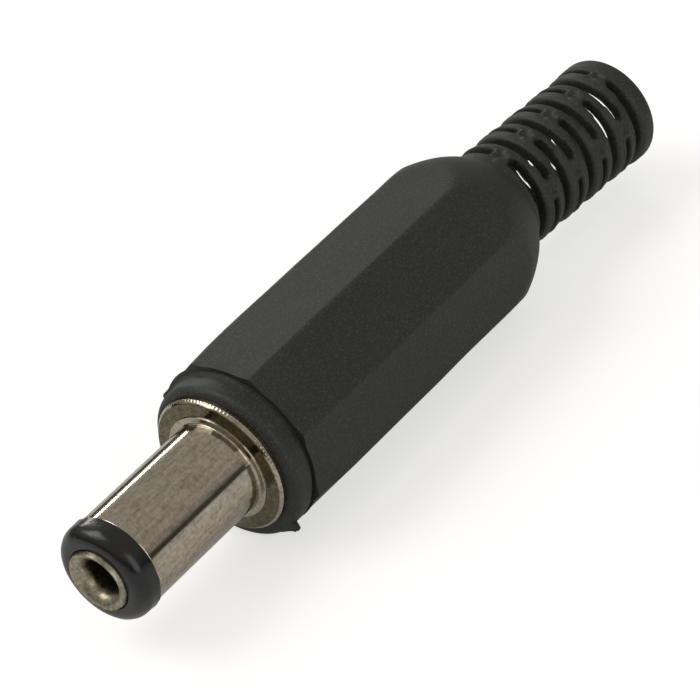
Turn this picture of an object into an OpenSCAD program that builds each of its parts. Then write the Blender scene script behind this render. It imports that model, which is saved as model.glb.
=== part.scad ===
// Solderable coaxial power plug: a nickel-plated barrel on a flanged, threaded
// body, a flared centre contact between two insulators, two solder tags, and a
// screw-on octagonal handle whose tail is moulded as a slotted strain relief.
// Millimetres. The plug's axis is Y, its tip points to -Y and +Z is up. The
// origin is on the axis, where the barrel meets the shoulder of its body.

/* [Barrel] */
// Outer diameter of the barrel
barrel_d = 5.5; // [5:0.1:6]
// Length of bare metal in front of the shoulder
barrel_length = 8.2; // [7:0.1:11]
// Wall of the barrel
barrel_wall = 0.5; // [0.35:0.05:0.6]

/* [Body behind the barrel] */
// Diameter of the shoulder at the barrel's root
boss_d = 6.25; // [6.1:0.05:6.8]
// Height of the shoulder in front of the flange
boss_height = 0.1; // [0.05:0.05:0.3]
// Diameter over the flange's knurled edge
flange_d = 8.15; // [7.9:0.05:8.6]
// Thickness of the flange
flange_thickness = 0.45; // [0.35:0.05:0.8]
// Bevel on the flange's front edge
flange_bevel = 0.1; // [0.05:0.01:0.15]
// Grooves round the flange's edge
knurl_count = 48; // [36:4:60]
// Depth of each groove in the flange's edge
knurl_depth = 0.06; // [0.03:0.01:0.08]
// Outer diameter of the thread that carries the handle
thread_d = 7; // [6.9:0.05:7.1]
// Length of the threaded stub
thread_length = 4.8; // [3.5:0.1:6]

/* [Tip] */
// How far the tip insulator stands in front of the barrel
tip_length = 1.3; // [1:0.1:1.8]
// How far the tip insulator's edge stands proud of the barrel
tip_lip = 0.05; // [0.02:0.01:0.1]
// Radius on the tip insulator's front edge
tip_round = 0.8; // [0.5:0.05:0.9]
// Depth of the tip insulator's sleeve inside the barrel
tip_sleeve = 4.5; // [3:0.1:6]

/* [Centre contact] */
// Bore of the centre contact
pin_bore_d = 2.1; // [1.9:0.1:2.5]
// Wall of the centre contact
pin_wall = 0.35; // [0.25:0.05:0.35]
// Rim diameter of the contact's flared mouth
flare_d = 3.6; // [3.45:0.05:3.8]
// How far the flared mouth stands in front of the tip insulator
flare_proud = 0.25; // [0.1:0.05:0.4]

/* [Rear insulator] */
// Thickness of the insulator's flange
washer_thickness = 0.7; // [0.5:0.05:1]
// Depth of the insulator's spigot inside the body
spigot_length = 2.4; // [1.5:0.1:3]

/* [Solder tags] */
// Thickness of the stamped sheet
sheet = 0.4; // [0.3:0.05:0.5]
// Radius of the sleeve tag's outside about the axis
sleeve_tag_r = 3.1; // [3:0.05:3.2]
// Diameter of the centre tag's ring
centre_ring_d = 4.6; // [4.2:0.1:4.8]
// Length of the centre tag behind its ring
centre_tag_length = 6.2; // [5:0.1:8]
// Width of the centre tag
centre_tag_width = 1.9; // [1.6:0.1:2.2]
// Length of the sleeve tag behind its ring
sleeve_tag_length = 14.2; // [13:0.1:14.5]
// Width of the sleeve tag
sleeve_tag_width = 2.8; // [2.4:0.1:3]
// Diameter of the wire holes in the tags
wire_hole_d = 1; // [0.8:0.1:1.2]
// Length of the cable clamp along the sleeve tag
clamp_length = 2.6; // [2:0.1:3.2]
// Height of the cable clamp's ears above the axis
clamp_height = 1.2; // [0.6:0.1:1.5]

/* [Handle] */
// Distance across the handle's flats
across_flats = 9.7; // [9.5:0.05:10.2]
// Length of the handle from its front face to the strain relief
grip_length = 24.8; // [24:0.1:27]
// Length of the round collar in front of the flats
collar_length = 1.45; // [1:0.05:2.5]
// Radius on the collar's front edge
collar_round = 0.55; // [0.3:0.05:0.7]
// How far the collar is smaller than the flats, on its radius
collar_relief = 0.08; // [0.04:0.01:0.15]
// Length over which the flats round off into the strain relief
shoulder_length = 5.8; // [4.5:0.1:7]
// Bore around the solder tags
cavity_d = 7.6; // [7.4:0.1:7.8]
// Depth of the cavity from the handle's front face
cavity_depth = 21; // [20.5:0.1:22]

/* [Strain relief] */
// Outer diameter of the strain relief
relief_d = 6.3; // [6:0.1:6.8]
// Bore of the slotted part
relief_bore_d = 5; // [4.8:0.05:5.1]
// Hole for the cable, in the unslotted end
outlet_d = 4.6; // [4:0.1:4.7]
// Length of the cable's hole
outlet_length = 1.8; // [1:0.1:1.9]
// Length of the strain relief behind the handle
relief_length = 11.6; // [11.4:0.1:13]
// Distance from one slot to the next of the same row
slot_pitch = 2.17; // [2.1:0.01:2.2]
// Width of a slot
slot_width = 0.75; // [0.55:0.05:0.8]
// Slots in the row that is nearer the handle
slot_count = 5; // [3:1:5]
// Distance from the handle to the middle of the first slot
first_slot = 0.6; // [0.5:0.05:0.7]
// How far a slot runs past the middle of the relief
slot_overlap = 1.15; // [0.9:0.05:1.2]
// Width of the webs that join one ring to the next
web_width = 0.85; // [0.7:0.05:0.95]
// Width of the short slots beyond the webs
short_slot_width = 0.36; // [0.3:0.02:0.4]
// Depth of the rounded groove round each slot's mouth
scallop_depth = 0.19; // [0.1:0.01:0.25]
// Radius on the relief's end
relief_round = 0.7; // [0.4:0.05:0.8]

/* [Fits] */
// Radial clearance between the two threads
thread_clearance = 0.05; // [0.03:0.01:0.08]
// Radial clearance of the pieces pressed into one another
press_clearance = 0.02; // [0.01:0.01:0.04]
// Gap between the rear insulator's flange and the sleeve tag
tag_clearance = 0.1; // [0.05:0.05:0.15]

/* [Hidden] */
$fn = 96;
eps = 0.5;

// Stations along the axis, from the tip to the tail.
barrel_front = -barrel_length;
tip_front = barrel_front - tip_length;
flare_front = tip_front - flare_proud;
flange_front = boss_height;
flange_back = flange_front + flange_thickness;
body_back = flange_back + thread_length;
ring_back = body_back + sheet;
washer_back = ring_back + washer_thickness;
centre_ring_back = washer_back + sheet;
handle_front = flange_back;
collar_back = handle_front + collar_length;
relief_front = handle_front + grip_length;
relief_back = relief_front + relief_length;
cavity_back = handle_front + cavity_depth;

// The mould halves of the strain relief pull across the flats that face half-way up.
mould_angle = 45;

// Radii and other sizes that follow from the driving sizes.
barrel_r = barrel_d / 2;
barrel_bore_r = barrel_r - barrel_wall;
flange_r = flange_d / 2;
bore_r = pin_bore_d / 2;
pin_r = bore_r + pin_wall;
thread_r = thread_d / 2;
thread_bevel = 0.3;
thread_runout = 1.2;
relief_r = relief_d / 2;
relief_bore_r = relief_bore_d / 2;
cavity_r = cavity_d / 2;
corner_r = across_flats / 2 / cos(22.5);
envelope_r = corner_r + 0.05;
collar_r = across_flats / 2 - collar_relief;

// Trumpet mouth of the centre contact: an arc that turns outwards by flare_angle.
flare_angle = 75;
flare_r = (flare_d / 2 - bore_r - pin_wall * cos(flare_angle)) / (1 - cos(flare_angle));
flare_centre = [bore_r + flare_r, flare_front + flare_r * sin(flare_angle)];

// Arc that rounds the flats off towards the strain relief.
shoulder_drop = envelope_r - relief_r - 0.1;
shoulder_r = (pow(shoulder_length, 2) + pow(shoulder_drop, 2)) / (2 * shoulder_drop);

// Arc of the shallow groove round each slot's mouth.
scallop_half = slot_pitch / 3;
scallop_r = (pow(scallop_half, 2) + pow(scallop_depth, 2)) / (2 * scallop_depth);

// Turns a profile drawn as [radius, distance along the axis] round the plug's axis.
module turned() {
    rotate([-90, 0, 0])
        rotate_extrude() children();
}

// A plain round bar along the axis between two stations.
module bar(r, from, to) {
    translate([0, from, 0])
        rotate([-90, 0, 0]) cylinder(r = r, h = to - from);
}

// A round washer along the axis between two stations.
module ring(outer_r, inner_r, from, to) {
    turned()
        polygon([[inner_r, from], [outer_r, from], [outer_r, to], [inner_r, to]]);
}

// Points of an arc from angle a0 to a1 round a centre, for the turned profiles.
function arc(centre, r, a0, a1, n = 12) =
    [for (i = [0:n]) let (a = a0 + (a1 - a0) * i / n) centre + r * [cos(a), sin(a)]];

// The octagonal grip: a prism with flats above and below, inside a turned envelope.
module grip_outline() {
    intersection() {
        translate([0, handle_front, 0])
            rotate([-90, 22.5, 0]) cylinder(r = corner_r, h = grip_length, $fn = 8);
        turned()
            polygon(concat(
                [[0, handle_front]],
                arc([collar_r - collar_round, handle_front + collar_round], collar_round, -90, 0),
                [[collar_r, collar_back], [envelope_r, collar_back + envelope_r - collar_r]],
                arc([envelope_r - shoulder_r, relief_front - shoulder_length], shoulder_r,
                    0, asin(shoulder_length / shoulder_r), 16),
                [[0, relief_front]]
            ));
    }
}

// Outline of one slot: straight sides that run to -x, and a round end at x = 0.
module slot_outline(width, reach) {
    translate([-reach, -width / 2]) square([reach - width / 2, width]);
    translate([-width / 2, 0]) circle(d = width, $fn = 32);
}

// What one half of the mould cuts between two rings: the long slot that comes in
// from -x, and the short one that comes in from +x, with a web between them.
module slot_pair() {
    reach = relief_r + eps;
    linear_extrude(height = reach)
        translate([slot_overlap, 0]) slot_outline(slot_width, slot_overlap + reach);
    linear_extrude(height = reach)
        translate([slot_overlap + web_width, 0])
            mirror([1, 0]) slot_outline(short_slot_width, reach);
}

// Everything cut between two rings. The other half of the mould repeats the slots
// half a turn on, and the row in between is the mirror image.
module ring_gap(mirrored) {
    mirror([mirrored ? 1 : 0, 0, 0]) {
        for (turn = [0, 180])
            rotate([0, turn, 0]) slot_pair();
        rotate([-90, 0, 0])
            rotate_extrude(angle = 180, start = 90)
                translate([relief_r + scallop_r - scallop_depth, 0]) circle(r = scallop_r);
    }
}

// Flexible tail: a tube cut into rings, each joined to the next by two webs.
module strain_relief() {
    difference() {
        turned()
            polygon(concat(
                [[0, relief_front - eps], [relief_r, relief_front - eps]],
                arc([relief_r - relief_round, relief_back - relief_round], relief_round, 0, 90),
                [[0, relief_back]]
            ));
        rotate([0, mould_angle, 0])
            for (i = [0:2 * slot_count - 2])
                translate([0, relief_front + first_slot + i * slot_pitch / 2, 0])
                    ring_gap(i % 2 == 0);
    }
}

// Moulded handle: octagonal shell with the thread's bore, the cavity for the solder
// tags, and the bore of the strain relief with the cable's hole at its end.
module handle() {
    thread_bore_back = body_back + thread_runout;
    relief_bore_front = cavity_back + cavity_r - relief_bore_r;
    outlet_front = relief_back - outlet_length;
    color("#3a3a3c")
    difference() {
        union() {
            grip_outline();
            strain_relief();
        }
        bar(thread_r + thread_clearance, handle_front - eps, thread_bore_back + eps);
        turned()
            polygon([
                [0, thread_bore_back], [cavity_r, thread_bore_back], [cavity_r, cavity_back],
                [relief_bore_r, relief_bore_front], [relief_bore_r, outlet_front],
                [outlet_d / 2, outlet_front], [outlet_d / 2, relief_back + eps],
                [0, relief_back + eps]
            ]);
    }
}

// Grooves along the flange's edge, for fingers to hold the body by.
module knurl() {
    side = 2 * knurl_depth;
    for (i = [0:knurl_count - 1])
        rotate([0, i * 360 / knurl_count, 0])
            translate([flange_r, flange_front - eps, 0])
                rotate([0, 45, 0])
                    translate([-side / 2, 0, -side / 2])
                        cube([side, flange_thickness + 2 * eps, side]);
}

// Turned and plated body: barrel, shoulder, knurled flange and threaded stub.
module barrel() {
    color("#b9b3a6")
    difference() {
        turned()
            polygon([
                [barrel_bore_r, barrel_front], [barrel_r, barrel_front],
                [barrel_r, 0], [boss_d / 2, 0], [boss_d / 2, flange_front],
                [flange_r - flange_bevel, flange_front], [flange_r, flange_front + flange_bevel],
                [flange_r, flange_back], [thread_r, flange_back],
                [thread_r, body_back - thread_bevel], [thread_r - thread_bevel, body_back],
                [barrel_bore_r, body_back]
            ]);
        knurl();
    }
}

// Moulded ring that closes the barrel's tip, with a sleeve that centres the contact
// and a hollow that its trumpet mouth sits in.
module tip_insulator() {
    rim_r = barrel_r + tip_lip;
    sleeve_r = barrel_bore_r - press_clearance;
    sleeve_back = barrel_front + tip_sleeve;
    seat = arc(flare_centre, flare_r - pin_wall - press_clearance, 180, 260);
    color("#1b1b1c")
    turned()
        polygon(concat(
            seat,
            [[seat[len(seat) - 1].x, tip_front]],
            arc([rim_r - tip_round, tip_front + tip_round], tip_round, -90, 0, 16),
            [[rim_r, barrel_front], [sleeve_r, barrel_front], [sleeve_r, sleeve_back]],
            [[pin_r + press_clearance, sleeve_back]]
        ));
}

// Drawn tube with a trumpet mouth, rolled over the centre tag at its rear end.
module centre_contact() {
    roll_r = pin_r + pin_wall;
    roll_back = centre_ring_back + pin_wall;
    color("#c9c6bf")
    turned()
        polygon(concat(
            arc(flare_centre, flare_r, 180, 180 + flare_angle),
            arc(flare_centre, flare_r - pin_wall, 180 + flare_angle, 180),
            [[pin_r, centre_ring_back], [roll_r, centre_ring_back]],
            [[roll_r, roll_back - pin_wall / 2], [pin_r, roll_back], [bore_r, roll_back]]
        ));
}

// Moulded shouldered washer that keeps the centre tag off the body.
module rear_insulator() {
    hole_r = pin_r + press_clearance;
    spigot_r = barrel_bore_r - press_clearance;
    washer_r = sleeve_tag_r - sheet - tag_clearance;
    color("#2a2725")
    turned()
        polygon([
            [hole_r, body_back - spigot_length], [spigot_r, body_back - spigot_length],
            [spigot_r, ring_back], [washer_r, ring_back],
            [washer_r, washer_back], [hole_r, washer_back]
        ]);
}

// Flat strip along the axis, with a round end and a wire hole, seen from above.
module tag_outline(width, from, to) {
    difference() {
        union() {
            translate([-width / 2, from]) square([width, to - from - width / 2]);
            translate([0, to - width / 2]) circle(d = width);
        }
        translate([0, to - width / 2]) circle(d = wire_hole_d, $fn = 48);
    }
}

// Stamped tag on the centre contact: a ring whose upper edge is bent to the rear.
module centre_terminal() {
    tag_top = centre_ring_d / 2;
    color("#cfc9b8")
    union() {
        ring(centre_ring_d / 2, pin_r + press_clearance, washer_back, centre_ring_back);
        translate([0, 0, tag_top - sheet])
            linear_extrude(height = sheet)
                tag_outline(centre_tag_width, washer_back, centre_ring_back + centre_tag_length);
    }
}

// Stamped tag on the body: a ring whose lower edge is bent to the rear and ends in
// a cradle with two ears that are folded over the cable.
module ground_terminal() {
    cradle_back = ring_back + sleeve_tag_length;
    cradle_front = cradle_back - clamp_length;
    color("#cfc9b8")
    difference() {
        union() {
            ring(sleeve_tag_r, barrel_bore_r + press_clearance, body_back, ring_back);
            translate([-sleeve_tag_width / 2, body_back, -sleeve_tag_r])
                cube([sleeve_tag_width, cradle_front + sheet - body_back, sheet]);
            translate([0, cradle_front, 0])
                rotate([-90, 0, 0])
                    rotate_extrude(angle = 180)
                        translate([sleeve_tag_r - sheet, 0]) square([sheet, clamp_length]);
            for (side = [-1, 1])
                translate([side * (sleeve_tag_r - sheet / 2), cradle_front + clamp_length / 2, clamp_height / 2])
                    cube([sheet, clamp_length, clamp_height + 0.01], center = true);
        }
        translate([0, (ring_back + cradle_front) / 2, -sleeve_tag_r - eps])
            cylinder(d = wire_hole_d, h = sheet + 2 * eps);
    }
}

handle();
barrel();
tip_insulator();
centre_contact();
rear_insulator();
centre_terminal();
ground_terminal();
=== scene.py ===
"""Looks of a solderable coaxial power plug: its plated metal, its two plastics and its tin-plated tags.

Lengths are in millimetres up to the mesh makers, which write metres. The plug's axis is Y, and its
tip points to -Y.
"""
import math

import bmesh
import bpy
import numpy as np
from mathutils import Matrix, Vector


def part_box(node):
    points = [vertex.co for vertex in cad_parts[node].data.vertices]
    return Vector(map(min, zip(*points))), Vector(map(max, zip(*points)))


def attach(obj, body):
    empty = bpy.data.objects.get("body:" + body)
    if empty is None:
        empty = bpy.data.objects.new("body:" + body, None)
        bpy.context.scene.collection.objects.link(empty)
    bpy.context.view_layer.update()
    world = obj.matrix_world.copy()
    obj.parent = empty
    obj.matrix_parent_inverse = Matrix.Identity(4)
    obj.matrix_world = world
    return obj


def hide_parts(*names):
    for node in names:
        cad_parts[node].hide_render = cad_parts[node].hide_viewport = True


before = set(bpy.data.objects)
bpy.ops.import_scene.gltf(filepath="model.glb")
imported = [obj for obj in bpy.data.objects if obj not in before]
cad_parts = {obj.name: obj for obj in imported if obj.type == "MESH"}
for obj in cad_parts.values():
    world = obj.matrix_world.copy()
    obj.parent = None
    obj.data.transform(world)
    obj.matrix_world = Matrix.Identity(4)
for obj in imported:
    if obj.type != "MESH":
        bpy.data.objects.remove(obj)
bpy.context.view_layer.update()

MM = 0.001
FULL_TURN = 2 * math.pi


# ---------------------------------------------------------------- sizes from the frame

def reach(node):
    """Lowest and highest corner of a CAD node, in millimetres."""
    low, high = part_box(node)
    return low / MM, high / MM


handle_low, handle_high = reach("handle")
barrel_low, barrel_high = reach("barrel")
tip_low, tip_high = reach("tip_insulator")
contact_low, contact_high = reach("centre_contact")

HANDLE_FRONT = handle_low.y
RELIEF_BACK = handle_high.y
APOTHEM = handle_high.z
BARREL_FRONT = barrel_low.y
BODY_BACK = barrel_high.y
FLANGE_R = barrel_high.x
# The tip's ring and the trumpet mouth stand this much further out than their plain solids.
TIP_PROUD = 0.1
RIM_PROUD = 0.06
TIP_FRONT = tip_low.y - TIP_PROUD
TIP_SLEEVE_BACK = tip_high.y
RIM_R = tip_high.x + RIM_PROUD
FLARE_FRONT = contact_low.y - TIP_PROUD
CONTACT_BACK = contact_high.y
FLARE_R = contact_high.x

# Plated body
BARREL_R = 2.75
BARREL_BORE_R = 2.25
BOSS_R = 3.125
BOSS_HEIGHT = 0.1
FLANGE_BEVEL = 0.2
KNURL_TEETH = 112
KNURL_DEPTH = 0.045
KNURL_LEAD = 0.42
THREAD_R = 3.5
THREAD_PITCH = 0.75
THREAD_DEPTH = 0.3
THREAD_UNDERCUT = 0.4
THREAD_START = 0.7
THREAD_BEVEL = 0.35

# Tip and contact
CONTACT_BORE_R = 1.05
CONTACT_WALL = 0.35
FLARE_ANGLE = math.radians(75)
PRESS_CLEARANCE = 0.02
ROLL_LENGTH = 0.35
DENT_HEIGHT = 0.012
DENT_SIZE = 0.9
DENTS_BACK = -7.6
TIP_ROUND = 0.8
SEAT_ANGLE = math.radians(80)
TIP_WAVE = 0.014
TIP_FINE_WAVE = 0.006
TIP_SEAM = 0.02

# Handle
FLAT_ANGLE = math.radians(45)
HALF_FLAT = math.radians(22.5)
COLLAR_R = APOTHEM - 0.2
COLLAR_SHIFT = 0.17
COLLAR_ROUND = 0.4
COLLAR_BACK = HANDLE_FRONT + 1.45
COLLAR_GROOVE = 0.16
FRONT_DRAFT = 0.14
FRONT_DRAFT_LENGTH = 3
GRIP_LENGTH = 24.8
ENVELOPE_R = APOTHEM / math.cos(HALF_FLAT) + 0.05
RELIEF_FRONT = HANDLE_FRONT + GRIP_LENGTH
# The dome meets the relief this much nearer the front than in the plain solid.
ROOT_SHIFT = 0.6
ROOT = RELIEF_FRONT - ROOT_SHIFT
# The dome is part of an ellipse: its half axes along and across the plug, and where it begins.
DOME_LENGTH = 7.2
DOME_DROP = 4.54
DOME_START = ROOT - 6.12
DOME_STEPS = 30
THREAD_CLEARANCE = 0.05
THREAD_BORE_BACK = BODY_BACK + 1.2
CAVITY_R = 3.8
CAVITY_BACK = HANDLE_FRONT + 21
FLASH_ANGLE = math.radians(-46.2)
CORNER_SOFTNESS = 0.12
EDGE_SOFTNESS = 0.10
SKIN_RIPPLE = 0.012
SKIN_RIPPLE_SIZE = 4.5

# Strain relief
RELIEF_R = 3.15
RELIEF_BORE_R = 2.5
SLOT_PITCH = 2.17
SLOT_COUNT = 5
FIRST_SLOT = 0.6
SLOT_OVERLAP = 1.15
WEB_WIDTH = 0.85
SHORT_SLOT_WIDTH = 0.36
FIRST_SLOT_AT = 0.85
TAIL_SHORTENING = 0.75
SWELL = 0.12
LIP_HEIGHT = 0.075
PIN_MARK_DEPTH = 0.13
PIN_MARK_RIM = 0.05
TAIL_VOXEL = 0.06
TAIL_TRIANGLES = 115000
TAIL_BEND = math.radians(3.2)
BEND_LENGTH = 1.0
# Directions across the plug: along and across the parting of the tail's mould, and where the tail leans.
MOULD_X = np.array([math.sqrt(0.5), 0, -math.sqrt(0.5)])
MOULD_Z = np.array([math.sqrt(0.5), 0, math.sqrt(0.5)])
LEAN = np.array([0.692, 0, -0.722])


# ---------------------------------------------------------------- mesh makers

def finish_mesh(name, bm, sharp_angle=35):
    """Writes a bmesh made in millimetres as a smooth-shaded object in metres, with its sharp edges kept."""
    bmesh.ops.recalc_face_normals(bm, faces=bm.faces)
    bmesh.ops.scale(bm, vec=Vector((MM, MM, MM)), verts=bm.verts)
    mesh = bpy.data.meshes.new(name)
    bm.to_mesh(mesh)
    bm.free()
    made = bpy.data.objects.new(name, mesh)
    bpy.context.scene.collection.objects.link(made)
    smooth(made, sharp_angle)
    return made


def smooth(obj, sharp_angle=35):
    obj.data.polygons.foreach_set("use_smooth", [True] * len(obj.data.polygons))
    obj.data.set_sharp_from_angle(angle=math.radians(sharp_angle))


def rounded(corners, steps=5):
    """A closed outline from corners (radius, station, fillet), each fillet an arc of that radius."""
    outline = []
    count = len(corners)
    for i, (r, y, fillet) in enumerate(corners):
        here = np.array([r, y])
        before = np.array(corners[i - 1][:2]) - here
        after = np.array(corners[(i + 1) % count][:2]) - here
        if fillet == 0:
            outline.append(tuple(here))
            continue
        to_before = before / np.linalg.norm(before)
        to_after = after / np.linalg.norm(after)
        half = math.acos(np.clip(to_before @ to_after, -1, 1)) / 2
        setback = fillet / math.tan(half)
        middle = (to_before + to_after) / np.linalg.norm(to_before + to_after)
        centre = here + middle * fillet / math.sin(half)
        start = here + to_before * setback - centre
        end = here + to_after * setback - centre
        turn = math.atan2(start[0] * end[1] - start[1] * end[0], start @ end)
        for k in range(steps + 1):
            a = turn * k / steps
            c, s = math.cos(a), math.sin(a)
            outline.append((
                centre[0] + c * start[0] - s * start[1],
                centre[1] + s * start[0] + c * start[1]))
    return outline


def refined(outline, step, low=-math.inf, high=math.inf):
    """The outline with more points on its long sides, where the station lies between low and high."""
    points = []
    for here, after in zip(outline, outline[1:] + outline[:1]):
        length = math.dist(here, after)
        inside = low <= (here[1] + after[1]) / 2 <= high
        cuts = max(1, math.ceil(length / step)) if inside else 1
        for k in range(cuts):
            t = k / cuts
            points.append((here[0] + (after[0] - here[0]) * t, here[1] + (after[1] - here[1]) * t))
    return points


def even_angles(count):
    return np.arange(count) * FULL_TURN / count


def turned(outline, angles, shape=None):
    """A bmesh of a closed outline turned about the axis. shape(r, y, angles) may change a ring's points."""
    bm = bmesh.new()
    rings = []
    for r, y in outline:
        rr, yy = np.full(len(angles), r), np.full(len(angles), y)
        if shape:
            rr, yy = shape(rr, yy, angles)
        rings.append([
            bm.verts.new((a * math.cos(t), b, a * math.sin(t))) for a, b, t in zip(rr, yy, angles)])
    for ring, following in zip(rings, rings[1:] + rings[:1]):
        for k in range(len(angles)):
            j = (k + 1) % len(angles)
            bm.faces.new((ring[k], ring[j], following[j], following[k]))
    return bm


def smaller(a, b, softness):
    """The smaller of two lengths, blended over softness where they cross."""
    overlap = np.maximum(softness - np.abs(a - b), 0) / softness
    return np.minimum(a, b) - overlap * overlap * softness / 4


def ripple(points, waves, size, seed):
    """Low, smooth unevenness: a few sine waves in random directions, for moulded and handled surfaces."""
    random = np.random.default_rng(seed)
    total = np.zeros(len(points))
    for _ in range(waves):
        direction = random.normal(size=3)
        direction /= np.linalg.norm(direction)
        total += np.sin(points @ direction * FULL_TURN / size + random.uniform(0, FULL_TURN))
    return total / math.sqrt(waves)


# ---------------------------------------------------------------- the pieces

def plated_body():
    """Turned brass body: barrel, shoulder, knurled flange and threaded stub."""
    flange_front, flange_back = BOSS_HEIGHT, HANDLE_FRONT
    outline = rounded([
        (BARREL_BORE_R, BARREL_FRONT, 0.05), (BARREL_R, BARREL_FRONT, 0.1),
        (BARREL_R, 0, 0.12), (BOSS_R, 0, 0.04), (BOSS_R, flange_front, 0.03),
        (FLANGE_R - FLANGE_BEVEL, flange_front, 0.02), (FLANGE_R, flange_front + FLANGE_BEVEL, 0.02),
        (FLANGE_R, flange_back, 0.03), (THREAD_R - THREAD_DEPTH, flange_back, 0.05),
        (THREAD_R - THREAD_DEPTH, flange_back + THREAD_UNDERCUT, 0),
        (THREAD_R, flange_back + THREAD_START, 0),
        (THREAD_R, BODY_BACK - THREAD_BEVEL, 0), (THREAD_R - THREAD_BEVEL, BODY_BACK, 0),
        (BARREL_BORE_R, BODY_BACK, 0.05),
    ], steps=4)
    outline = refined(outline, THREAD_PITCH / 12, flange_back + THREAD_UNDERCUT, BODY_BACK)
    outline = refined(outline, 0.05, flange_front + FLANGE_BEVEL / 2, flange_back)

    def shape(r, y, angles):
        on_rim = np.clip((r - FLANGE_R + 0.12) / 0.08, 0, 1) * (y < flange_back + 0.01)
        slant = (y - flange_front) / KNURL_LEAD
        turn = KNURL_TEETH / 2 * angles
        crossed = np.abs(np.sin(turn + slant)) * np.abs(np.sin(turn - slant))
        r = r - on_rim * KNURL_DEPTH * (1 - crossed)
        on_stub = (y > flange_back + 0.55) & (r > THREAD_R - THREAD_DEPTH)
        phase = (y / THREAD_PITCH - angles / FULL_TURN) % 1
        groove = np.clip(1.25 - np.abs(phase - 0.5) * 4, 0, 1) * THREAD_DEPTH
        return np.where(on_stub, np.minimum(r, THREAD_R - groove), r), y

    return finish_mesh("plated_body", turned(outline, even_angles(KNURL_TEETH * 4), shape), 50)


def flare_arc(r, start, end, steps=14):
    """Points of an arc about the centre of the trumpet mouth's bend."""
    widening = FLARE_R - CONTACT_BORE_R - CONTACT_WALL * math.cos(FLARE_ANGLE)
    bend_r = widening / (1 - math.cos(FLARE_ANGLE))
    centre_r = CONTACT_BORE_R + bend_r
    centre_y = FLARE_FRONT + bend_r * math.sin(FLARE_ANGLE)
    angles = [start + (end - start) * k / steps for k in range(steps + 1)]
    return [
        (centre_r + (bend_r - r) * math.cos(a), centre_y + (bend_r - r) * math.sin(a)) for a in angles]


def contact_tube():
    """Drawn contact with its trumpet mouth, rolled outwards over the centre tag at the rear."""
    pin_r = CONTACT_BORE_R + CONTACT_WALL
    roll_front = CONTACT_BACK - ROLL_LENGTH
    lip = flare_arc(CONTACT_WALL / 2, math.pi + FLARE_ANGLE, math.pi + FLARE_ANGLE, 1)[0]
    inside = flare_arc(0, math.pi, math.pi + FLARE_ANGLE)
    outside = flare_arc(CONTACT_WALL, math.pi + FLARE_ANGLE, math.pi)
    outline = inside + [(lip[0] + 0.03, lip[1] + 0.01)] + outside + rounded([
        (pin_r, roll_front, 0), (pin_r + CONTACT_WALL, roll_front, 0.05),
        (pin_r + CONTACT_WALL / 2, CONTACT_BACK, 0.15), (CONTACT_BORE_R, CONTACT_BACK, 0.1),
    ])

    def shape(r, y, angles):
        points = np.stack([r * np.cos(angles), y, r * np.sin(angles)], 1)
        dents = ripple(points, 8, DENT_SIZE, 3) * DENT_HEIGHT * np.clip((DENTS_BACK - y) / 1.5, 0, 1)
        return r + dents, y

    return finish_mesh("contact_tube", turned(refined(outline, 0.6), even_angles(160), shape), 60)


def tip_ring():
    """Moulded ring at the tip, with the sleeve that centres the contact."""
    sleeve_r = BARREL_BORE_R - PRESS_CLEARANCE
    hole_r = CONTACT_BORE_R + CONTACT_WALL + PRESS_CLEARANCE
    seat = flare_arc(CONTACT_WALL + PRESS_CLEARANCE, math.pi + SEAT_ANGLE, math.pi)
    rim = rounded([
        (seat[0][0], TIP_FRONT, 0.03), (RIM_R, TIP_FRONT, TIP_ROUND),
        (RIM_R, BARREL_FRONT, 0.1), (sleeve_r, BARREL_FRONT, 0),
        (sleeve_r, TIP_SLEEVE_BACK, 0.1), (hole_r, TIP_SLEEVE_BACK, 0.1),
    ], steps=12)
    outline = refined(rim + seat[::-1][:-1], 0.12, TIP_FRONT - 0.5, BARREL_FRONT + 0.01)

    def shape(r, y, angles):
        points = np.stack([r * np.cos(angles), y, r * np.sin(angles)], 1)
        outer = np.clip((r - 2.0) / 0.5, 0, 1) * (y < BARREL_FRONT + 0.02)
        wave = ripple(points, 10, 2.6, 11) * TIP_WAVE + ripple(points, 12, 0.9, 12) * TIP_FINE_WAVE
        seam = np.clip((y - BARREL_FRONT + 0.25) / 0.2, 0, 1)
        return r + outer * (wave + TIP_SEAM * seam * ripple(points, 14, 0.7, 13)), y

    return finish_mesh("tip_ring", turned(outline, even_angles(256), shape), 50)


def octagon_angles(per_flat=40):
    """Angles round the grip, closer together near the eight corners."""
    t = (np.arange(per_flat) + 0.5) / per_flat * 2 - 1
    bunched = np.sign(t) * (1 - (1 - np.abs(t)) ** 1.7)
    return np.concatenate([FLAT_ANGLE * k + bunched * HALF_FLAT for k in range(8)])


def grip_radius(angles):
    """Distance from the axis to the octagon's side, with softened corners."""
    off = (angles + HALF_FLAT) % FLAT_ANGLE - HALF_FLAT
    side = APOTHEM / np.cos(off)
    next_side = APOTHEM / np.cos(FLAT_ANGLE - np.abs(off))
    return smaller(side, next_side, CORNER_SOFTNESS)


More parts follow.
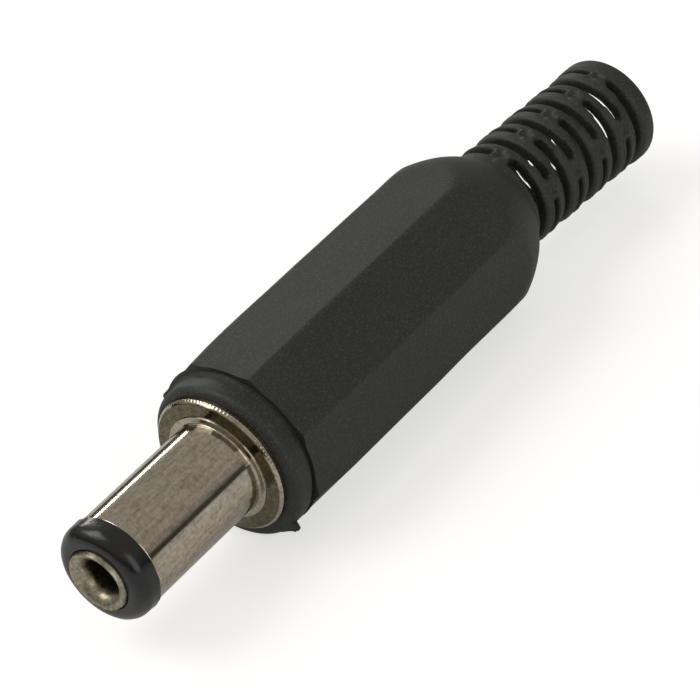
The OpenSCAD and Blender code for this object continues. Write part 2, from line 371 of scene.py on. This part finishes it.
def grip_solid():
    """Octagonal shell of the handle, with its collar, its domed shoulder and its bores."""
    dome = []
    for k in range(DOME_STEPS + 1):
        t = k / DOME_STEPS * (ROOT - DOME_START) / DOME_LENGTH
        drop = DOME_DROP * (1 - math.sqrt(1 - t * t))
        dome.append((ENVELOPE_R - drop, DOME_START + t * DOME_LENGTH))
    bore_r = THREAD_R + THREAD_CLEARANCE
    front = rounded([
        (bore_r, HANDLE_FRONT, 0.1), (COLLAR_R, HANDLE_FRONT, COLLAR_ROUND),
        (COLLAR_R, COLLAR_BACK - 0.1, 0.05), (COLLAR_R - COLLAR_GROOVE, COLLAR_BACK, 0.04),
        (ENVELOPE_R, COLLAR_BACK + 0.02, 0),
    ], steps=8)
    back = rounded([
        (RELIEF_BORE_R, ROOT, 0), (RELIEF_BORE_R, CAVITY_BACK + CAVITY_R - RELIEF_BORE_R, 0.3),
        (CAVITY_R, CAVITY_BACK, 0.3), (CAVITY_R, THREAD_BORE_BACK, 0.1), (bore_r, THREAD_BORE_BACK, 0.1),
    ])
    outline = front + dome + back
    outline = refined(outline, 0.12, COLLAR_BACK - 0.9, COLLAR_BACK + 0.8)
    outline = refined(outline, 1.6, COLLAR_BACK + 0.8, CAVITY_BACK)

    def shape(r, y, angles):
        draft = FRONT_DRAFT * np.clip(1 - (y - COLLAR_BACK) / FRONT_DRAFT_LENGTH, 0, 1) ** 2
        on_collar = y < COLLAR_BACK + 0.01
        outer = np.where(on_collar, r, smaller(r, grip_radius(angles) - draft, EDGE_SOFTNESS))
        points = np.stack([outer * np.cos(angles), y, outer * np.sin(angles)], 1)
        skin = np.clip((outer - 4.2) / 0.3, 0, 1)
        in_collar = np.clip((COLLAR_BACK - y) / 0.3, 0, 1)
        outer = outer + skin * in_collar * COLLAR_SHIFT * np.cos(angles - FLASH_ANGLE)
        return outer + skin * ripple(points, 8, SKIN_RIPPLE_SIZE, 21) * SKIN_RIPPLE, y

    return finish_mesh("grip_solid", turned(outline, octagon_angles(), shape), 40)


def flash_scrap():
    """Torn scrap of moulding flash that hangs from the collar's front edge."""
    # Places along the collar's edge, and how far the torn edge hangs out at each.
    across = [-0.9, -0.6, -0.3, -0.05, 0.1, 0.2, 0.3, 0.42, 0.5]
    hang = [-0.05, 0.02, 0.1, 0.22, 0.36, 0.3, 0.42, 0.38, 0.1]
    inside = -0.35
    edge_r = COLLAR_R + COLLAR_SHIFT
    bm = bmesh.new()
    rows = []
    for a, h in zip(across, hang):
        t = FLASH_ANGLE + a / edge_r
        row = []
        for depth, y in ((inside, 0.1), (h, 0.14), (h, 0.34), (inside, 0.6)):
            r = edge_r + depth
            row.append(bm.verts.new((r * math.cos(t), HANDLE_FRONT + y, r * math.sin(t))))
        rows.append(row)
    for row, following in zip(rows, rows[1:]):
        for k in range(4):
            j = (k + 1) % 4
            bm.faces.new((row[k], row[j], following[j], following[k]))
    bm.faces.new(rows[0])
    bm.faces.new(rows[-1][::-1])
    return finish_mesh("flash_scrap", bm)


def tail_from_frame():
    """The frame's strain relief with its moulded edges softened: remeshed evenly and smoothed."""
    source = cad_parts["handle"]
    bm = bmesh.new()
    bm.from_mesh(source.data)
    bmesh.ops.remove_doubles(bm, verts=bm.verts, dist=1e-6)
    cut_y = (RELIEF_FRONT + 0.02) * MM
    cut = bmesh.ops.bisect_plane(
        bm, geom=bm.verts[:] + bm.edges[:] + bm.faces[:], dist=1e-9,
        plane_co=(0, cut_y, 0), plane_no=(0, -1, 0), clear_outer=True)
    edges = [e for e in cut["geom_cut"] if isinstance(e, bmesh.types.BMEdge)]
    bmesh.ops.triangle_fill(bm, use_beauty=True, edges=edges)
    mesh = bpy.data.meshes.new("tail")
    bm.to_mesh(mesh)
    bm.free()
    tail = bpy.data.objects.new("tail", mesh)
    bpy.context.scene.collection.objects.link(tail)
    modify(tail, "REMESH", mode="VOXEL", voxel_size=TAIL_VOXEL * MM, adaptivity=0)
    modify(tail, "SMOOTH", factor=0.5, iterations=5)
    return tail


def modify(obj, kind, **settings):
    """Adds a modifier and applies it at once."""
    made = obj.modifiers.new(kind.lower(), kind)
    for name, value in settings.items():
        setattr(made, name, value)
    bpy.context.view_layer.objects.active = obj
    bpy.ops.object.modifier_apply(modifier=made.name)


def coordinates(obj):
    co = np.empty(len(obj.data.vertices) * 3)
    obj.data.vertices.foreach_get("co", co)
    return co.reshape(-1, 3) / MM


def set_coordinates(obj, co):
    obj.data.vertices.foreach_set("co", (co * MM).ravel())
    obj.data.update()


def tail_detail(tail):
    """Lips round the short slots, a sunk pin mark on each web, fuller rings, and the tail's bend."""
    co = coordinates(tail)
    x, z, y = co @ MOULD_X, co @ MOULD_Z, co[:, 1]
    r = np.hypot(x, z)
    change = np.zeros(len(co))
    pocket = np.zeros(len(co))
    for gap in range(2 * SLOT_COUNT - 1):
        y_gap = RELIEF_FRONT + FIRST_SLOT + gap * SLOT_PITCH / 2
        side = 1 if gap % 2 == 0 else -1
        for half in (1, -1):
            u = x * half * side
            facing = z * half > 0
            end = -(SLOT_OVERLAP + WEB_WIDTH)
            along = np.maximum(u - end + SHORT_SLOT_WIDTH / 2, 0)
            away = np.hypot(along, y - y_gap) - SHORT_SLOT_WIDTH / 2
            lip = LIP_HEIGHT * np.exp(-((away - 0.12) / 0.1) ** 2)
            mark_u = -(SLOT_OVERLAP + 0.35)
            mark = np.hypot((u - mark_u) / 1.3, y - y_gap)
            pit = PIN_MARK_DEPTH * np.exp(-(mark / 0.17) ** 2)
            rim = PIN_MARK_RIM * np.exp(-((mark - 0.33) / 0.09) ** 2)
            change += facing * (lip * (u < 0) + rim - pit)
            inside = facing * np.clip((end + 0.5 - u) / 0.2, 0, 1)
            pocket = np.maximum(pocket, inside * np.clip((0.55 - np.abs(y - y_gap)) / 0.2, 0, 1))
    outer = np.clip((r - RELIEF_R + 0.42) / 0.2, 0, 1)
    scale = 1 + change * outer / np.maximum(r, 1)
    normals = np.empty(len(co) * 3)
    tail.data.vertices.foreach_get("normal", normals)
    swollen = normals.reshape(-1, 3) * (SWELL * (1 - pocket))[:, None]
    co = np.stack([co[:, 0] * scale, co[:, 1], co[:, 2] * scale], 1) + swollen
    last_slot = RELIEF_FRONT + FIRST_SLOT + (SLOT_COUNT - 1) * SLOT_PITCH
    # The rings sit a little nearer the grip, and the end a little nearer the last slot.
    co[:, 1] = np.interp(
        co[:, 1], [RELIEF_FRONT - 0.1, RELIEF_FRONT + FIRST_SLOT, last_slot, RELIEF_BACK + SWELL],
        [ROOT - 0.2, ROOT + FIRST_SLOT_AT, last_slot, RELIEF_BACK - TAIL_SHORTENING])
    set_coordinates(tail, bent(co))


def bent(co):
    """The tail's points after the set it has taken: it leans down and to +X, bent near its root."""
    s = np.clip(co[:, 1] - ROOT, 0, None)
    turn = TAIL_BEND * np.minimum(s / BEND_LENGTH, 1)
    # Where the middle line goes: an arc over the bend's length, then straight on.
    radius = BEND_LENGTH / TAIL_BEND
    past = np.maximum(s - BEND_LENGTH, 0)
    mid_y = radius * np.sin(turn) + past * np.cos(turn)
    mid_n = radius * (1 - np.cos(turn)) + past * np.sin(turn)
    n = co @ LEAN
    across = co - n[:, None] * LEAN
    across[:, 1] = 0
    y = np.where(s > 0, ROOT + mid_y - n * np.sin(turn), co[:, 1])
    shift = np.where(s > 0, mid_n + n * np.cos(turn), n)
    made = across + shift[:, None] * LEAN
    made[:, 1] += y
    return made


def moulded_handle():
    """Handle in one moulding: octagonal grip, slotted strain relief, and a scrap of flash at its front."""
    tail = tail_from_frame()
    tail_detail(tail)
    triangles = len(tail.data.polygons) * 2
    modify(tail, "DECIMATE", ratio=min(1, TAIL_TRIANGLES / triangles))
    grip = grip_solid()
    grip.name = "moulded_handle"
    for joined in (tail, flash_scrap()):
        modify(grip, "BOOLEAN", object=joined, operation="UNION", solver="MANIFOLD")
        bpy.data.objects.remove(joined)
    smooth(grip, 45)
    return grip


# ---------------------------------------------------------------- materials

def linear(hex_colour):
    """sRGB hex to linear RGBA."""
    channels = [int(hex_colour[k:k + 2], 16) / 255 for k in (1, 3, 5)]
    return [c / 12.92 if c <= 0.04045 else ((c + 0.055) / 1.055) ** 2.4 for c in channels] + [1]


def add(tree, kind, inputs=None, **settings):
    """Adds a shader node: settings are its properties; inputs are its sockets, each a value or a link."""
    made = tree.nodes.new("ShaderNode" + kind)
    for name, value in settings.items():
        setattr(made, name, value)
    for name, value in (inputs or {}).items():
        if isinstance(value, bpy.types.NodeSocket):
            tree.links.new(value, made.inputs[name])
        else:
            made.inputs[name].default_value = value
    return made


def new_material(name):
    """A new material, its node tree and its Principled shader."""
    material = bpy.data.materials.new(name)
    material.use_nodes = True
    tree = material.node_tree
    return material, tree, tree.nodes["Principled BSDF"]


def millimetres(tree, stretch=(1, 1, 1)):
    """Texture coordinates in millimetres of the plug's own frame, so that a scale of 5 means 0.2 mm."""
    place = add(tree, "TexCoord").outputs["Object"]
    return add(tree, "Mapping", {"Vector": place, "Scale": [s / MM for s in stretch]}).outputs["Vector"]


def spark_eroded_plastic():
    """ABS, moulded in a spark-eroded tool: black, matt, with a fine grain whose peaks are paler."""
    material, tree, shader = new_material("black_abs_spark_eroded")
    where = millimetres(tree)
    grain = add(tree, "TexNoise", {"Vector": where, "Scale": 8.0, "Detail": 3.0, "Roughness": 0.6})
    drift = add(tree, "TexNoise", {"Vector": where, "Scale": 0.35, "Detail": 4.0, "Roughness": 0.6})
    tint = add(tree, "ValToRGB", {"Fac": drift.outputs["Fac"]})
    tint.color_ramp.elements[0].position = 0.3
    tint.color_ramp.elements[0].color = linear("#1c1d1b")
    tint.color_ramp.elements[1].position = 0.7
    tint.color_ramp.elements[1].color = linear("#232422")
    rough = add(tree, "MapRange", {"Value": drift.outputs["Fac"], "To Min": 0.5, "To Max": 0.62})
    bump = add(tree, "Bump", {"Height": grain.outputs["Fac"], "Distance": 0.02 * MM, "Strength": 1.0})
    peaks = add(tree, "MapRange", {"Value": grain.outputs["Fac"], "From Min": 0.5, "From Max": 0.72,
                                   "To Min": 0.0, "To Max": 1.0})
    worn = add(tree, "Mix", {"Factor": peaks.outputs["Result"], 6: tint.outputs["Color"],
                             7: linear("#3f403b")}, data_type="RGBA")
    tree.links.new(worn.outputs[2], shader.inputs["Base Color"])
    tree.links.new(rough.outputs["Result"], shader.inputs["Roughness"])
    tree.links.new(bump.outputs["Normal"], shader.inputs["Normal"])
    shader.inputs["IOR"].default_value = 1.53
    return material


def polished_tip_plastic():
    """Nylon ring, moulded in a polished tool: black and glossy, with faint flow waves."""
    material, tree, shader = new_material("black_nylon_polished")
    where = millimetres(tree)
    flow = add(tree, "TexNoise", {"Vector": where, "Scale": 1.1, "Detail": 3.0, "Roughness": 0.55})
    rough = add(tree, "MapRange", {"Value": flow.outputs["Fac"], "To Min": 0.16, "To Max": 0.34})
    bump = add(tree, "Bump", {"Height": flow.outputs["Fac"], "Distance": 0.03 * MM, "Strength": 1.0})
    tree.links.new(rough.outputs["Result"], shader.inputs["Roughness"])
    tree.links.new(bump.outputs["Normal"], shader.inputs["Normal"])
    shader.inputs["Base Color"].default_value = linear("#0f0f10")
    shader.inputs["IOR"].default_value = 1.53
    return material


def nickel_plate():
    """Brass with barrel-plated nickel: warm grey and mottled, with painted shade on the flange's front
    face, where a darker colour stands in for the dark surroundings that the face mirrors.
    """
    material, tree, shader = new_material("nickel_plated_brass")
    where = millimetres(tree)
    mottle = add(tree, "TexNoise", {"Vector": where, "Scale": 4.0, "Detail": 6.0, "Roughness": 0.65})
    marks = add(tree, "TexNoise", {"Vector": millimetres(tree, (3, 0.35, 3)), "Scale": 2.0, "Detail": 5.0})
    both = add(tree, "Mix", {"Factor": 0.4, "A": mottle.outputs["Fac"], "B": marks.outputs["Fac"]})
    tint = add(tree, "ValToRGB", {"Fac": both.outputs["Result"]})
    tint.color_ramp.elements[0].position = 0.32
    tint.color_ramp.elements[0].color = linear("#8d8069")
    tint.color_ramp.elements[1].position = 0.68
    tint.color_ramp.elements[1].color = linear("#cbc5b6")
    rough = add(tree, "MapRange", {"Value": both.outputs["Result"], "From Min": 0.3, "From Max": 0.7,
                                   "To Min": 0.15, "To Max": 0.07})
    bump = add(tree, "Bump", {"Height": both.outputs["Result"], "Distance": 0.004 * MM, "Strength": 1.0})
    # The flange's front face is picked out by its place along the plug. There it gets darker colours as
    # painted shade, standing in for the dark surroundings that the face mirrors.
    station = add(tree, "SeparateXYZ", {0: where}).outputs["Y"]
    on_face = add(tree, "MapRange", {"Value": station, "From Min": BOSS_HEIGHT - 0.03,
                                     "From Max": BOSS_HEIGHT - 0.01})
    behind = add(tree, "MapRange", {"Value": station, "From Min": BOSS_HEIGHT + 0.02,
                                    "From Max": BOSS_HEIGHT + 0.05, "To Min": 1.0, "To Max": 0.0})
    face = add(tree, "Math", {0: on_face.outputs["Result"], 1: behind.outputs["Result"]},
               operation="MULTIPLY")
    # Painted shade: darker colours for the flange's front face, in place of its darker reflection.
    flange_face_painted_shade = add(tree, "ValToRGB", {"Fac": both.outputs["Result"]})
    flange_face_painted_shade.color_ramp.elements[0].position = 0.35
    flange_face_painted_shade.color_ramp.elements[0].color = linear("#474130")
    flange_face_painted_shade.color_ramp.elements[1].position = 0.65
    flange_face_painted_shade.color_ramp.elements[1].color = linear("#827b62")
    colour = add(tree, "Mix", {"Factor": face.outputs[0], 6: tint.outputs["Color"],
                               7: flange_face_painted_shade.outputs["Color"]}, data_type="RGBA")
    tree.links.new(colour.outputs[2], shader.inputs["Base Color"])
    tree.links.new(rough.outputs["Result"], shader.inputs["Roughness"])
    tree.links.new(bump.outputs["Normal"], shader.inputs["Normal"])
    shader.inputs["Metallic"].default_value = 1.0
    return material


def tin_plate():
    """Brass contact with bright tin plate: soft and pale, mottled, with painted reflection: the darker
    olive tone stands in for the dark surroundings that the flared mouth mirrors.
    """
    material, tree, shader = new_material("tin_plated_brass")
    where = millimetres(tree)
    tin_mottle_and_painted_reflection = add(tree, "TexNoise", {"Vector": where, "Scale": 5.0, "Detail": 6.0, "Roughness": 0.7})
    # Painted reflection: the dark olive end of this ramp stands in for the surroundings mirrored in the
    # flared mouth. The paler end is the plate's own colour.
    tint = add(tree, "ValToRGB", {"Fac": tin_mottle_and_painted_reflection.outputs["Fac"]})
    tint.color_ramp.elements[0].position = 0.3
    tint.color_ramp.elements[0].color = linear("#6f6546")
    tint.color_ramp.elements[1].position = 0.7
    tint.color_ramp.elements[1].color = linear("#bdb8a6")
    rough = add(tree, "MapRange", {"Value": tin_mottle_and_painted_reflection.outputs["Fac"], "To Min": 0.22, "To Max": 0.42})
    bump = add(tree, "Bump", {"Height": tin_mottle_and_painted_reflection.outputs["Fac"], "Distance": 0.01 * MM, "Strength": 1.0})
    tree.links.new(tint.outputs["Color"], shader.inputs["Base Color"])
    tree.links.new(rough.outputs["Result"], shader.inputs["Roughness"])
    tree.links.new(bump.outputs["Normal"], shader.inputs["Normal"])
    shader.inputs["Metallic"].default_value = 1.0
    return material


def rolled_tag_plate():
    """Brass strip, rolled, stamped and tin plated: dull silver with fine lines along the strip."""
    material, tree, shader = new_material("stamped_tin_plated_strip")
    lines = add(tree, "TexNoise", {"Vector": millimetres(tree, (9, 0.3, 9)), "Scale": 2.0, "Detail": 5.0})
    cloud = add(tree, "TexNoise", {"Vector": millimetres(tree), "Scale": 1.0, "Detail": 4.0})
    both = add(tree, "Mix", {"Factor": 0.5, "A": lines.outputs["Fac"], "B": cloud.outputs["Fac"]})
    tint = add(tree, "ValToRGB", {"Fac": both.outputs["Result"]})
    tint.color_ramp.elements[0].position = 0.35
    tint.color_ramp.elements[0].color = linear("#b5ae9b")
    tint.color_ramp.elements[1].position = 0.65
    tint.color_ramp.elements[1].color = linear("#d6d3c9")
    rough = add(tree, "MapRange", {"Value": both.outputs["Result"], "To Min": 0.28, "To Max": 0.5})
    bump = add(tree, "Bump", {"Height": lines.outputs["Fac"], "Distance": 0.004 * MM, "Strength": 1.0})
    tree.links.new(tint.outputs["Color"], shader.inputs["Base Color"])
    tree.links.new(rough.outputs["Result"], shader.inputs["Roughness"])
    tree.links.new(bump.outputs["Normal"], shader.inputs["Normal"])
    shader.inputs["Metallic"].default_value = 1.0
    return material


def phenolic():
    """Phenolic washer, compression moulded: very dark brown, with specks of its wood-flour filler."""
    material, tree, shader = new_material("dark_phenolic")
    filler = add(tree, "TexNoise", {"Vector": millimetres(tree), "Scale": 9.0, "Detail": 4.0,
                                    "Roughness": 0.7})
    tint = add(tree, "ValToRGB", {"Fac": filler.outputs["Fac"]})
    tint.color_ramp.elements[0].position = 0.4
    tint.color_ramp.elements[0].color = linear("#1d1916")
    tint.color_ramp.elements[1].position = 0.75
    tint.color_ramp.elements[1].color = linear("#3a2e24")
    bump = add(tree, "Bump", {"Height": filler.outputs["Fac"], "Distance": 0.01 * MM, "Strength": 1.0})
    tree.links.new(tint.outputs["Color"], shader.inputs["Base Color"])
    tree.links.new(bump.outputs["Normal"], shader.inputs["Normal"])
    shader.inputs["Roughness"].default_value = 0.55
    shader.inputs["IOR"].default_value = 1.6
    return material


def white_floor():
    """White card. Seen straight on or in gloss it shows as clean white, but for the object's shadow."""
    material, tree, shader = new_material("white_card")
    tree.nodes.remove(shader)
    path = add(tree, "LightPath")
    seen = add(tree, "Math", {0: path.outputs["Is Camera Ray"], 1: 0.62}, operation="MULTIPLY")
    mirrored = add(tree, "Math", {0: path.outputs["Is Glossy Ray"], 1: 0.21}, operation="MULTIPLY")
    lift = add(tree, "Math", {0: seen.outputs[0], 1: mirrored.outputs[0]}, operation="ADD")
    card = add(tree, "BsdfDiffuse", {"Color": [0.6, 0.6, 0.6, 1]})
    glow = add(tree, "Emission", {"Color": [1, 1, 1, 1], "Strength": lift.outputs[0]})
    total = add(tree, "AddShader", {0: card.outputs[0], 1: glow.outputs[0]})
    tree.links.new(total.outputs[0], tree.nodes["Material Output"].inputs["Surface"])
    return material


# ---------------------------------------------------------------- camera, floor and light

AIM = Vector((0.22, 11.2, -0.27)) * MM
CAMERA_DISTANCE = 190 * MM
CAMERA_AZIMUTH = math.radians(45.2)
CAMERA_ELEVATION = math.radians(34.2)
CAMERA_ROLL = math.radians(14.5)
LENS = 184.4
SENSOR = 36
FLOOR_RADIUS = 2.5


def set_camera():
    towards = Vector((
        math.cos(CAMERA_ELEVATION) * math.sin(CAMERA_AZIMUTH),
        -math.cos(CAMERA_ELEVATION) * math.cos(CAMERA_AZIMUTH),
        math.sin(CAMERA_ELEVATION)))
    right = (-towards).cross(Vector((0, 0, 1))).normalized()
    up = right.cross(-towards)
    c, s = math.cos(CAMERA_ROLL), math.sin(CAMERA_ROLL)
    columns = (right * c - up * s, up * c + right * s, towards)
    camera = bpy.data.objects.new("camera", bpy.data.cameras.new("camera"))
    bpy.context.scene.collection.objects.link(camera)
    place = Matrix.Translation(AIM + towards * CAMERA_DISTANCE)
    camera.matrix_world = place @ Matrix(columns).transposed().to_4x4()
    camera.data.lens = LENS
    camera.data.sensor_width = SENSOR
    camera.data.clip_start = 0.01
    camera.data.clip_end = 20
    bpy.context.scene.camera = camera


def set_floor():
    bpy.ops.mesh.primitive_circle_add(
        vertices=96, radius=FLOOR_RADIUS, fill_type="NGON", location=(0, 0, handle_low.z * MM))
    floor = bpy.context.active_object
    floor.name = "floor"
    floor.data.materials.append(white_floor())


def area_light(name, direction, distance, width, height, power):
    """A rectangular soft light that faces the plug from a direction."""
    lamp = bpy.data.lights.new(name, "AREA")
    lamp.energy = power
    lamp.shape = "RECTANGLE"
    lamp.size = width
    lamp.size_y = height
    made = bpy.data.objects.new(name, lamp)
    bpy.context.scene.collection.objects.link(made)
    place = Vector(direction).normalized() * distance
    made.location = AIM + place
    made.rotation_euler = place.to_track_quat("Z", "Y").to_euler()


def set_light():
    area_light("window_back_left", (-0.80, 0.50, 0.333), 0.6, 0.24, 0.045, 0.42)
    area_light("softbox_above", (-0.5, -0.35, 0.79), 0.6, 0.35, 0.35, 1.15)
    area_light("fill_right", (0.9, -0.25, 0.35), 0.7, 0.45, 0.45, 0.8)
    world = bpy.data.worlds.new("studio")
    bpy.context.scene.world = world
    world.use_nodes = True
    tree = world.node_tree
    height = add(tree, "SeparateXYZ", {0: add(tree, "TexCoord").outputs["Generated"]}).outputs["Z"]
    room = add(tree, "ValToRGB", {"Fac": height})
    ramp = room.color_ramp
    ramp.elements[0].position = 0.0
    ramp.elements[0].color = [0.05, 0.05, 0.047, 1]
    ramp.elements[1].position = 0.45
    ramp.elements[1].color = [0.45, 0.435, 0.41, 1]
    low = ramp.elements.new(0.14)
    low.color = [0.06, 0.06, 0.055, 1]
    middle = ramp.elements.new(0.24)
    middle.color = [0.34, 0.325, 0.305, 1]
    path = add(tree, "LightPath")
    colour = add(tree, "Mix", {"Factor": path.outputs["Is Camera Ray"], 6: room.outputs["Color"],
                               7: [1, 1, 1, 1]}, data_type="RGBA")
    tree.links.new(colour.outputs[2], tree.nodes["Background"].inputs["Color"])
    bpy.context.scene.view_settings.view_transform = "Standard"


# ---------------------------------------------------------------- put together

def dress(obj, material, body, replaces):
    """A mesh made here, with its finish: it rides on a body and is seen in place of a CAD node."""
    obj.data.materials.clear()
    obj.data.materials.append(material)
    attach(obj, body)
    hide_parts(replaces)


def keep(node, material):
    """A CAD node whose shape is right as it stands, with its own finish."""
    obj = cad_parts[node]
    obj.data.materials.clear()
    obj.data.materials.append(material)


set_camera()
set_floor()
set_light()

plastic = spark_eroded_plastic()
tag = rolled_tag_plate()
dress(moulded_handle(), plastic, "handle", "handle")
dress(plated_body(), nickel_plate(), "plug", "barrel")
dress(tip_ring(), polished_tip_plastic(), "plug", "tip_insulator")
dress(contact_tube(), tin_plate(), "plug", "centre_contact")
keep("rear_insulator", phenolic())
keep("centre_terminal", tag)
keep("ground_terminal", tag)
